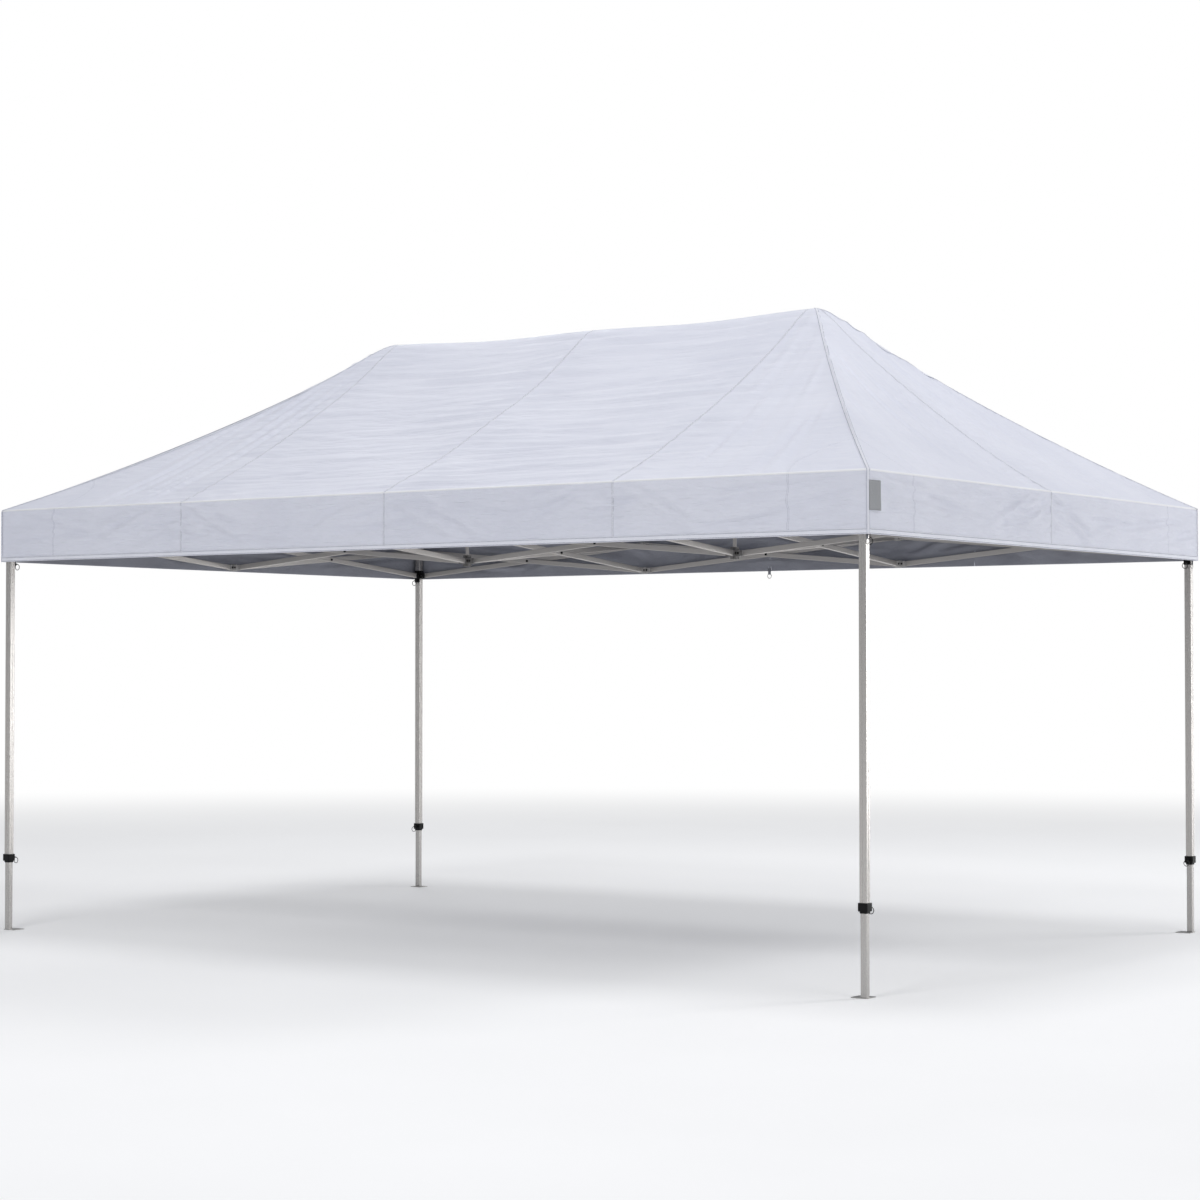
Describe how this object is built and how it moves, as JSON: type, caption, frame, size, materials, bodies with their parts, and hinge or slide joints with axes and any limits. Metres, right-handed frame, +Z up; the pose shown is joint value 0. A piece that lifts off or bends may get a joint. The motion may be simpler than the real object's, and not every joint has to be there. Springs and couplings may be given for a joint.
{
  "type": "pop up canopy",
  "caption": "Free-standing pop up canopy: white hip roof with deep valance on telescopic legs and a folding scissor truss, drawn together by sliders and locked by pull pins.",
  "frame": {"origin": "on the ground, under the middle of the roof", "axes": "+X along the long side to the right, +Y to the rear, +Z up"},
  "size_m": [6, 4, 3.632],
  "materials": {
    "canopy_fabric": "woven polyester, satin",
    "outer_leg": "satin anodised",
    "inner_leg": "brushed, anodised",
    "bracket": "moulded, fine texture",
    "peak_post": "satin anodised",
    "ridge_rod": "fibreglass rod",
    "slider": "moulded, fine texture",
    "truss_bar": "satin anodised"
  },
  "bodies": {
    "upper_bracket_centre_left": {"upper_bracket_centre_left": "bracket", "canopy": "canopy_fabric", "ridge_rod": "ridge_rod"},
    "truss_cross_left_1_rising": {"truss_cross_left_1_rising": "truss_bar"},
    "truss_cross_left_2_falling": {"truss_cross_left_2_falling": "truss_bar"},
    "truss_middle_1_rising": {"truss_middle_1_rising": "truss_bar"},
    "truss_middle_2_falling": {"truss_middle_2_falling": "truss_bar"},
    "lower_bracket_front_left": {"lower_bracket_front_left": "bracket"},
    "lower_bracket_left_end": {"lower_bracket_left_end": "bracket"},
    "lower_bracket_rear_left": {"lower_bracket_rear_left": "bracket"},
    "peak_post_right": {"peak_post_right": "peak_post"},
    "truss_cross_left_1_falling": {"truss_cross_left_1_falling": "truss_bar"},
    "truss_cross_left_2_rising": {"truss_cross_left_2_rising": "truss_bar"},
    "truss_middle_1_falling": {"truss_middle_1_falling": "truss_bar"},
    "truss_middle_2_rising": {"truss_middle_2_rising": "truss_bar"},
    "peak_post_left": {"peak_post_left": "peak_post"},
    "truss_cross_right_1_falling": {"truss_cross_right_1_falling": "truss_bar"},
    "truss_cross_right_2_rising": {"truss_cross_right_2_rising": "truss_bar"},
    "truss_middle_3_rising": {"truss_middle_3_rising": "truss_bar"},
    "upper_bracket_centre_right": {"upper_bracket_centre_right": "bracket"},
    "upper_bracket_left_end": {"upper_bracket_left_end": "bracket"},
    "truss_cross_right_1_rising": {"truss_cross_right_1_rising": "truss_bar"},
    "truss_cross_right_2_falling": {"truss_cross_right_2_falling": "truss_bar"},
    "truss_middle_3_falling": {"truss_middle_3_falling": "truss_bar"},
    "upper_bracket_right_end": {"upper_bracket_right_end": "bracket"},
    "lower_bracket_front_right": {"lower_bracket_front_right": "bracket"},
    "lower_bracket_rear_right": {"lower_bracket_rear_right": "bracket"},
    "lower_bracket_right_end": {"lower_bracket_right_end": "bracket"},
    "truss_front_1_falling": {"truss_front_1_falling": "truss_bar"},
    "truss_front_2_rising": {"truss_front_2_rising": "truss_bar"},
    "truss_left_end_1_falling": {"truss_left_end_1_falling": "truss_bar"},
    "truss_left_end_2_rising": {"truss_left_end_2_rising": "truss_bar"},
    "truss_rear_1_falling": {"truss_rear_1_falling": "truss_bar"},
    "truss_rear_2_rising": {"truss_rear_2_rising": "truss_bar"},
    "leg_front_left": {"leg_front_left": "outer_leg"},
    "leg_rear_left": {"leg_rear_left": "outer_leg"},
    "truss_front_1_rising": {"truss_front_1_rising": "truss_bar"},
    "truss_front_2_falling": {"truss_front_2_falling": "truss_bar"},
    "truss_left_end_1_rising": {"truss_left_end_1_rising": "truss_bar"},
    "truss_left_end_2_falling": {"truss_left_end_2_falling": "truss_bar"},
    "truss_rear_1_rising": {"truss_rear_1_rising": "truss_bar"},
    "truss_rear_2_falling": {"truss_rear_2_falling": "truss_bar"},
    "slider_front_left": {"slider_front_left": "slider"},
    "slider_rear_left": {"slider_rear_left": "slider"},
    "truss_right_end_1_rising": {"truss_right_end_1_rising": "truss_bar"},
    "truss_right_end_2_falling": {"truss_right_end_2_falling": "truss_bar"},
    "slider_front_right": {"slider_front_right": "slider"},
    "slider_rear_right": {"slider_rear_right": "slider"},
    "truss_front_3_rising": {"truss_front_3_rising": "truss_bar"},
    "truss_rear_3_rising": {"truss_rear_3_rising": "truss_bar"},
    "truss_right_end_1_falling": {"truss_right_end_1_falling": "truss_bar"},
    "truss_right_end_2_rising": {"truss_right_end_2_rising": "truss_bar"},
    "leg_front_right": {"leg_front_right": "outer_leg"},
    "leg_rear_right": {"leg_rear_right": "outer_leg"},
    "truss_front_3_falling": {"truss_front_3_falling": "truss_bar"},
    "truss_rear_3_falling": {"truss_rear_3_falling": "truss_bar"},
    "leg_inner_front_left": {"leg_inner_front_left": "inner_leg"},
    "leg_inner_front_right": {"leg_inner_front_right": "inner_leg"},
    "leg_inner_rear_left": {"leg_inner_rear_left": "inner_leg"},
    "leg_inner_rear_right": {"leg_inner_rear_right": "inner_leg"}
  },
  "joints": [
    {"name": "fold", "type": "hinge", "parent": "upper_bracket_centre_left", "child": "truss_cross_left_1_rising", "pos_m": [-0.9845, -0.03, 2.415], "axis": [1, 0, 0], "range_deg": [0, 81], "stiffness_Nm_per_rad": 150000, "deforming": ["canopy", "ridge_rod"]},
    {"name": "truss_cross_left_2_falling_pivot", "type": "hinge", "parent": "upper_bracket_centre_left", "child": "truss_cross_left_2_falling", "pos_m": [-0.9845, 0.03, 2.415], "axis": [1, 0, 0], "range_deg": [-81, 0], "stiffness_Nm_per_rad": 150000},
    {"name": "truss_middle_1_rising_pivot", "type": "hinge", "parent": "upper_bracket_centre_left", "child": "truss_middle_1_rising", "pos_m": [-1.02, 0, 2.415], "axis": [0, 1, 0], "range_deg": [-81, 0], "stiffness_Nm_per_rad": 150000},
    {"name": "truss_middle_2_falling_pivot", "type": "hinge", "parent": "upper_bracket_centre_left", "child": "truss_middle_2_falling", "pos_m": [-0.949, 0, 2.415], "axis": [0, 1, 0], "range_deg": [0, 81], "stiffness_Nm_per_rad": 150000},
    {"name": "lower_bracket_front_left_pivot", "type": "hinge", "parent": "truss_cross_left_1_rising", "child": "lower_bracket_front_left", "pos_m": [-0.9845, -1.928, 2.245], "axis": [1, 0, 0], "range_deg": [-81, 0], "stiffness_Nm_per_rad": 150000},
    {"name": "lower_bracket_left_end_pivot", "type": "hinge", "parent": "truss_middle_1_rising", "child": "lower_bracket_left_end", "pos_m": [-2.918, 0, 2.245], "axis": [0, 1, 0], "range_deg": [0, 81], "stiffness_Nm_per_rad": 150000},
    {"name": "lower_bracket_rear_left_pivot", "type": "hinge", "parent": "truss_cross_left_2_falling", "child": "lower_bracket_rear_left", "pos_m": [-0.9845, 1.928, 2.245], "axis": [1, 0, 0], "range_deg": [0, 81], "stiffness_Nm_per_rad": 5000},
    {"name": "peak_post_right_pivot", "type": "hinge", "parent": "truss_middle_2_falling", "child": "peak_post_right", "pos_m": [0.949, 0, 2.245], "axis": [0, 1, 0], "range_deg": [-81, 0], "stiffness_Nm_per_rad": 150000},
    {"name": "truss_cross_left_1_falling_pivot", "type": "hinge", "parent": "truss_cross_left_1_rising", "child": "truss_cross_left_1_falling", "pos_m": [-0.9845, -0.979, 2.33], "axis": [1, 0, 0], "range_deg": [-162, 0], "stiffness_Nm_per_rad": 150000},
    {"name": "truss_cross_left_2_rising_pivot", "type": "hinge", "parent": "truss_cross_left_2_falling", "child": "truss_cross_left_2_rising", "pos_m": [-0.9845, 0.979, 2.33], "axis": [1, 0, 0], "range_deg": [0, 162], "stiffness_Nm_per_rad": 150000},
    {"name": "truss_middle_1_falling_pivot", "type": "hinge", "parent": "truss_middle_1_rising", "child": "truss_middle_1_falling", "pos_m": [-1.969, 0, 2.33], "axis": [0, 1, 0], "range_deg": [0, 162], "stiffness_Nm_per_rad": 150000},
    {"name": "truss_middle_2_rising_pivot", "type": "hinge", "parent": "truss_middle_2_falling", "child": "truss_middle_2_rising", "pos_m": [0, 0, 2.33], "axis": [0, 1, 0], "range_deg": [-162, 0], "stiffness_Nm_per_rad": 150000},
    {"name": "peak_post_left_pivot", "type": "hinge", "parent": "truss_cross_left_1_falling", "child": "peak_post_left", "pos_m": [-0.9845, -0.03, 2.245], "axis": [1, 0, 0], "range_deg": [0, 81], "stiffness_Nm_per_rad": 150000},
    {"name": "truss_cross_right_1_falling_pivot", "type": "hinge", "parent": "peak_post_right", "child": "truss_cross_right_1_falling", "pos_m": [0.9845, -0.03, 2.245], "axis": [1, 0, 0], "range_deg": [-81, 0], "stiffness_Nm_per_rad": 150000},
    {"name": "truss_cross_right_2_rising_pivot", "type": "hinge", "parent": "peak_post_right", "child": "truss_cross_right_2_rising", "pos_m": [0.9845, 0.03, 2.245], "axis": [1, 0, 0], "range_deg": [0, 81], "stiffness_Nm_per_rad": 150000},
    {"name": "truss_middle_3_rising_pivot", "type": "hinge", "parent": "peak_post_right", "child": "truss_middle_3_rising", "pos_m": [1.02, 0, 2.245], "axis": [0, 1, 0], "range_deg": [-81, 0], "stiffness_Nm_per_rad": 150000},
    {"name": "upper_bracket_centre_right_pivot", "type": "hinge", "parent": "truss_middle_2_rising", "child": "upper_bracket_centre_right", "pos_m": [0.949, 0, 2.415], "axis": [0, 1, 0], "range_deg": [0, 81], "stiffness_Nm_per_rad": 50},
    {"name": "upper_bracket_left_end_pivot", "type": "hinge", "parent": "truss_middle_1_falling", "child": "upper_bracket_left_end", "pos_m": [-2.918, 0, 2.415], "axis": [0, 1, 0], "range_deg": [-81, 0], "stiffness_Nm_per_rad": 5000},
    {"name": "truss_cross_right_1_rising_pivot", "type": "hinge", "parent": "truss_cross_right_1_falling", "child": "truss_cross_right_1_rising", "pos_m": [0.9845, -0.979, 2.33], "axis": [1, 0, 0], "range_deg": [0, 162], "stiffness_Nm_per_rad": 150000},
    {"name": "truss_cross_right_2_falling_pivot", "type": "hinge", "parent": "truss_cross_right_2_rising", "child": "truss_cross_right_2_falling", "pos_m": [0.9845, 0.979, 2.33], "axis": [1, 0, 0], "range_deg": [-162, 0], "stiffness_Nm_per_rad": 150000},
    {"name": "truss_middle_3_falling_pivot", "type": "hinge", "parent": "truss_middle_3_rising", "child": "truss_middle_3_falling", "pos_m": [1.969, 0, 2.33], "axis": [0, 1, 0], "range_deg": [0, 162], "stiffness_Nm_per_rad": 150000},
    {"name": "upper_bracket_right_end_pivot", "type": "hinge", "parent": "truss_middle_3_rising", "child": "upper_bracket_right_end", "pos_m": [2.918, 0, 2.415], "axis": [0, 1, 0], "range_deg": [0, 81], "stiffness_Nm_per_rad": 5000},
    {"name": "lower_bracket_front_right_pivot", "type": "hinge", "parent": "truss_cross_right_1_rising", "child": "lower_bracket_front_right", "pos_m": [0.9845, -1.928, 2.245], "axis": [1, 0, 0], "range_deg": [-81, 0], "stiffness_Nm_per_rad": 150000},
    {"name": "lower_bracket_rear_right_pivot", "type": "hinge", "parent": "truss_cross_right_2_falling", "child": "lower_bracket_rear_right", "pos_m": [0.9845, 1.928, 2.245], "axis": [1, 0, 0], "range_deg": [0, 81], "stiffness_Nm_per_rad": 150000},
    {"name": "lower_bracket_right_end_pivot", "type": "hinge", "parent": "truss_middle_3_falling", "child": "lower_bracket_right_end", "pos_m": [2.918, 0, 2.245], "axis": [0, 1, 0], "range_deg": [-81, 0], "stiffness_Nm_per_rad": 5000},
    {"name": "truss_front_1_falling_pivot", "type": "hinge", "parent": "lower_bracket_front_left", "child": "truss_front_1_falling", "pos_m": [-1.02, -1.966, 2.245], "axis": [0, 1, 0], "range_deg": [0, 81], "stiffness_Nm_per_rad": 150000},
    {"name": "truss_front_2_rising_pivot", "type": "hinge", "parent": "lower_bracket_front_left", "child": "truss_front_2_rising", "pos_m": [-0.949, -1.966, 2.245], "axis": [0, 1, 0], "range_deg": [-81, 0], "stiffness_Nm_per_rad": 150000},
    {"name": "truss_left_end_1_falling_pivot", "type": "hinge", "parent": "lower_bracket_left_end", "child": "truss_left_end_1_falling", "pos_m": [-2.956, -0.03, 2.245], "axis": [1, 0, 0], "range_deg": [-81, 0], "stiffness_Nm_per_rad": 150000},
    {"name": "truss_left_end_2_rising_pivot", "type": "hinge", "parent": "lower_bracket_left_end", "child": "truss_left_end_2_rising", "pos_m": [-2.956, 0.03, 2.245], "axis": [1, 0, 0], "range_deg": [0, 81], "stiffness_Nm_per_rad": 150000},
    {"name": "truss_rear_1_falling_pivot", "type": "hinge", "parent": "lower_bracket_rear_left", "child": "truss_rear_1_falling", "pos_m": [-1.02, 1.966, 2.245], "axis": [0, 1, 0], "range_deg": [0, 81], "stiffness_Nm_per_rad": 150000},
    {"name": "truss_rear_2_rising_pivot", "type": "hinge", "parent": "lower_bracket_rear_left", "child": "truss_rear_2_rising", "pos_m": [-0.949, 1.966, 2.245], "axis": [0, 1, 0], "range_deg": [-81, 0], "stiffness_Nm_per_rad": 150000},
    {"name": "leg_front_left_pivot", "type": "hinge", "parent": "truss_front_1_falling", "child": "leg_front_left", "pos_m": [-2.918, -1.966, 2.415], "axis": [0, 1, 0], "range_deg": [-81, 0], "stiffness_Nm_per_rad": 150000},
    {"name": "leg_rear_left_pivot", "type": "hinge", "parent": "truss_left_end_2_rising", "child": "leg_rear_left", "pos_m": [-2.956, 1.928, 2.415], "axis": [1, 0, 0], "range_deg": [-81, 0], "stiffness_Nm_per_rad": 150000},
    {"name": "truss_front_1_rising_pivot", "type": "hinge", "parent": "truss_front_1_falling", "child": "truss_front_1_rising", "pos_m": [-1.969, -1.966, 2.33], "axis": [0, 1, 0], "range_deg": [-162, 0], "stiffness_Nm_per_rad": 150000},
    {"name": "truss_front_2_falling_pivot", "type": "hinge", "parent": "truss_front_2_rising", "child": "truss_front_2_falling", "pos_m": [0, -1.966, 2.33], "axis": [0, 1, 0], "range_deg": [0, 162], "stiffness_Nm_per_rad": 150000},
    {"name": "truss_left_end_1_rising_pivot", "type": "hinge", "parent": "upper_bracket_left_end", "child": "truss_left_end_1_rising", "pos_m": [-2.956, -0.03, 2.415], "axis": [1, 0, 0], "range_deg": [0, 81], "stiffness_Nm_per_rad": 150000},
    {"name": "truss_left_end_2_falling_pivot", "type": "hinge", "parent": "upper_bracket_left_end", "child": "truss_left_end_2_falling", "pos_m": [-2.956, 0.03, 2.415], "axis": [1, 0, 0], "range_deg": [-81, 0], "stiffness_Nm_per_rad": 150000},
    {"name": "truss_rear_1_rising_pivot", "type": "hinge", "parent": "truss_rear_1_falling", "child": "truss_rear_1_rising", "pos_m": [-1.969, 1.966, 2.33], "axis": [0, 1, 0], "range_deg": [-162, 0], "stiffness_Nm_per_rad": 150000},
    {"name": "truss_rear_2_falling_pivot", "type": "hinge", "parent": "truss_rear_2_rising", "child": "truss_rear_2_falling", "pos_m": [0, 1.966, 2.33], "axis": [0, 1, 0], "range_deg": [0, 162], "stiffness_Nm_per_rad": 150000},
    {"name": "slider_front_left_pivot", "type": "hinge", "parent": "truss_front_1_rising", "child": "slider_front_left", "pos_m": [-2.918, -1.966, 2.245], "axis": [0, 1, 0], "range_deg": [0, 81], "stiffness_Nm_per_rad": 50},
    {"name": "slider_rear_left_pivot", "type": "hinge", "parent": "truss_left_end_2_falling", "child": "slider_rear_left", "pos_m": [-2.956, 1.928, 2.245], "axis": [1, 0, 0], "range_deg": [0, 81], "stiffness_Nm_per_rad": 50},
    {"name": "truss_right_end_1_rising_pivot", "type": "hinge", "parent": "upper_bracket_right_end", "child": "truss_right_end_1_rising", "pos_m": [2.956, -0.03, 2.415], "axis": [1, 0, 0], "range_deg": [0, 81], "stiffness_Nm_per_rad": 150000},
    {"name": "truss_right_end_2_falling_pivot", "type": "hinge", "parent": "upper_bracket_right_end", "child": "truss_right_end_2_falling", "pos_m": [2.956, 0.03, 2.415], "axis": [1, 0, 0], "range_deg": [-81, 0], "stiffness_Nm_per_rad": 150000},
    {"name": "slider_front_right_pivot", "type": "hinge", "parent": "truss_right_end_1_rising", "child": "slider_front_right", "pos_m": [2.956, -1.928, 2.245], "axis": [1, 0, 0], "range_deg": [-81, 0], "stiffness_Nm_per_rad": 50},
    {"name": "slider_rear_right_pivot", "type": "hinge", "parent": "truss_right_end_2_falling", "child": "slider_rear_right", "pos_m": [2.956, 1.928, 2.245], "axis": [1, 0, 0], "range_deg": [0, 81], "stiffness_Nm_per_rad": 50},
    {"name": "truss_front_3_rising_pivot", "type": "hinge", "parent": "lower_bracket_front_right", "child": "truss_front_3_rising", "pos_m": [1.02, -1.966, 2.245], "axis": [0, 1, 0], "range_deg": [-81, 0], "stiffness_Nm_per_rad": 150000},
    {"name": "truss_rear_3_rising_pivot", "type": "hinge", "parent": "lower_bracket_rear_right", "child": "truss_rear_3_rising", "pos_m": [1.02, 1.966, 2.245], "axis": [0, 1, 0], "range_deg": [-81, 0], "stiffness_Nm_per_rad": 150000},
    {"name": "truss_right_end_1_falling_pivot", "type": "hinge", "parent": "lower_bracket_right_end", "child": "truss_right_end_1_falling", "pos_m": [2.956, -0.03, 2.245], "axis": [1, 0, 0], "range_deg": [-81, 0], "stiffness_Nm_per_rad": 150000},
    {"name": "truss_right_end_2_rising_pivot", "type": "hinge", "parent": "lower_bracket_right_end", "child": "truss_right_end_2_rising", "pos_m": [2.956, 0.03, 2.245], "axis": [1, 0, 0], "range_deg": [0, 81], "stiffness_Nm_per_rad": 150000},
    {"name": "leg_front_right_pivot", "type": "hinge", "parent": "truss_front_3_rising", "child": "leg_front_right", "pos_m": [2.918, -1.966, 2.415], "axis": [0, 1, 0], "range_deg": [0, 81], "stiffness_Nm_per_rad": 150000},
    {"name": "leg_rear_right_pivot", "type": "hinge", "parent": "truss_rear_3_rising", "child": "leg_rear_right", "pos_m": [2.918, 1.966, 2.415], "axis": [0, 1, 0], "range_deg": [0, 81], "stiffness_Nm_per_rad": 150000},
    {"name": "truss_front_3_falling_pivot", "type": "hinge", "parent": "truss_front_3_rising", "child": "truss_front_3_falling", "pos_m": [1.969, -1.966, 2.33], "axis": [0, 1, 0], "range_deg": [0, 162], "stiffness_Nm_per_rad": 150000},
    {"name": "truss_rear_3_falling_pivot", "type": "hinge", "parent": "truss_rear_3_rising", "child": "truss_rear_3_falling", "pos_m": [1.969, 1.966, 2.33], "axis": [0, 1, 0], "range_deg": [0, 162], "stiffness_Nm_per_rad": 150000},
    {"name": "leg_slide_front_left", "type": "slide", "parent": "leg_front_left", "child": "leg_inner_front_left", "axis": [0, 0, 1], "range_m": [0, 0.36], "stiffness_N_per_m": 20000, "springref_m": -0.05},
    {"name": "leg_slide_front_right", "type": "slide", "parent": "leg_front_right", "child": "leg_inner_front_right", "axis": [0, 0, 1], "range_m": [0, 0.36], "stiffness_N_per_m": 20000, "springref_m": -0.05},
    {"name": "leg_slide_rear_left", "type": "slide", "parent": "leg_rear_left", "child": "leg_inner_rear_left", "axis": [0, 0, 1], "range_m": [0, 0.36], "stiffness_N_per_m": 20000, "springref_m": -0.05},
    {"name": "leg_slide_rear_right", "type": "slide", "parent": "leg_rear_right", "child": "leg_inner_rear_right", "axis": [0, 0, 1], "range_m": [0, 0.36], "stiffness_N_per_m": 20000, "springref_m": -0.05}
  ],
  "couplings": [
    {"joint": "truss_cross_left_2_falling_pivot", "follows": "fold", "ratio": -1},
    {"joint": "truss_middle_1_rising_pivot", "follows": "fold", "ratio": -1},
    {"joint": "truss_middle_2_falling_pivot", "follows": "fold", "ratio": 1},
    {"joint": "lower_bracket_front_left_pivot", "follows": "fold", "ratio": -1},
    {"joint": "lower_bracket_left_end_pivot", "follows": "fold", "ratio": 1},
    {"joint": "lower_bracket_rear_left_pivot", "follows": "fold", "ratio": 1},
    {"joint": "peak_post_right_pivot", "follows": "fold", "ratio": -1},
    {"joint": "truss_cross_left_1_falling_pivot", "follows": "fold", "ratio": -2},
    {"joint": "truss_cross_left_2_rising_pivot", "follows": "fold", "ratio": 2},
    {"joint": "truss_middle_1_falling_pivot", "follows": "fold", "ratio": 2},
    {"joint": "truss_middle_2_rising_pivot", "follows": "fold", "ratio": -2},
    {"joint": "peak_post_left_pivot", "follows": "fold", "ratio": 1},
    {"joint": "truss_cross_right_1_falling_pivot", "follows": "fold", "ratio": -1},
    {"joint": "truss_cross_right_2_rising_pivot", "follows": "fold", "ratio": 1},
    {"joint": "truss_middle_3_rising_pivot", "follows": "fold", "ratio": -1},
    {"joint": "upper_bracket_centre_right_pivot", "follows": "fold", "ratio": 1},
    {"joint": "upper_bracket_left_end_pivot", "follows": "fold", "ratio": -1},
    {"joint": "truss_cross_right_1_rising_pivot", "follows": "fold", "ratio": 2},
    {"joint": "truss_cross_right_2_falling_pivot", "follows": "fold", "ratio": -2},
    {"joint": "truss_middle_3_falling_pivot", "follows": "fold", "ratio": 2},
    {"joint": "upper_bracket_right_end_pivot", "follows": "fold", "ratio": 1},
    {"joint": "lower_bracket_front_right_pivot", "follows": "fold", "ratio": -1},
    {"joint": "lower_bracket_rear_right_pivot", "follows": "fold", "ratio": 1},
    {"joint": "lower_bracket_right_end_pivot", "follows": "fold", "ratio": -1},
    {"joint": "truss_front_1_falling_pivot", "follows": "fold", "ratio": 1},
    {"joint": "truss_front_2_rising_pivot", "follows": "fold", "ratio": -1},
    {"joint": "truss_left_end_1_falling_pivot", "follows": "fold", "ratio": -1},
    {"joint": "truss_left_end_2_rising_pivot", "follows": "fold", "ratio": 1},
    {"joint": "truss_rear_1_falling_pivot", "follows": "fold", "ratio": 1},
    {"joint": "truss_rear_2_rising_pivot", "follows": "fold", "ratio": -1},
    {"joint": "leg_front_left_pivot", "follows": "fold", "ratio": -1},
    {"joint": "leg_rear_left_pivot", "follows": "fold", "ratio": -1},
    {"joint": "truss_front_1_rising_pivot", "follows": "fold", "ratio": -2},
    {"joint": "truss_front_2_falling_pivot", "follows": "fold", "ratio": 2},
    {"joint": "truss_left_end_1_rising_pivot", "follows": "fold", "ratio": 1},
    {"joint": "truss_left_end_2_falling_pivot", "follows": "fold", "ratio": -1},
    {"joint": "truss_rear_1_rising_pivot", "follows": "fold", "ratio": -2},
    {"joint": "truss_rear_2_falling_pivot", "follows": "fold", "ratio": 2},
    {"joint": "slider_front_left_pivot", "follows": "fold", "ratio": 1},
    {"joint": "slider_rear_left_pivot", "follows": "fold", "ratio": 1},
    {"joint": "truss_right_end_1_rising_pivot", "follows": "fold", "ratio": 1},
    {"joint": "truss_right_end_2_falling_pivot", "follows": "fold", "ratio": -1},
    {"joint": "slider_front_right_pivot", "follows": "fold", "ratio": -1},
    {"joint": "slider_rear_right_pivot", "follows": "fold", "ratio": 1},
    {"joint": "truss_front_3_rising_pivot", "follows": "fold", "ratio": -1},
    {"joint": "truss_rear_3_rising_pivot", "follows": "fold", "ratio": -1},
    {"joint": "truss_right_end_1_falling_pivot", "follows": "fold", "ratio": -1},
    {"joint": "truss_right_end_2_rising_pivot", "follows": "fold", "ratio": 1},
    {"joint": "leg_front_right_pivot", "follows": "fold", "ratio": 1},
    {"joint": "leg_rear_right_pivot", "follows": "fold", "ratio": 1},
    {"joint": "truss_front_3_falling_pivot", "follows": "fold", "ratio": 2},
    {"joint": "truss_rear_3_falling_pivot", "follows": "fold", "ratio": 2}
  ]
}
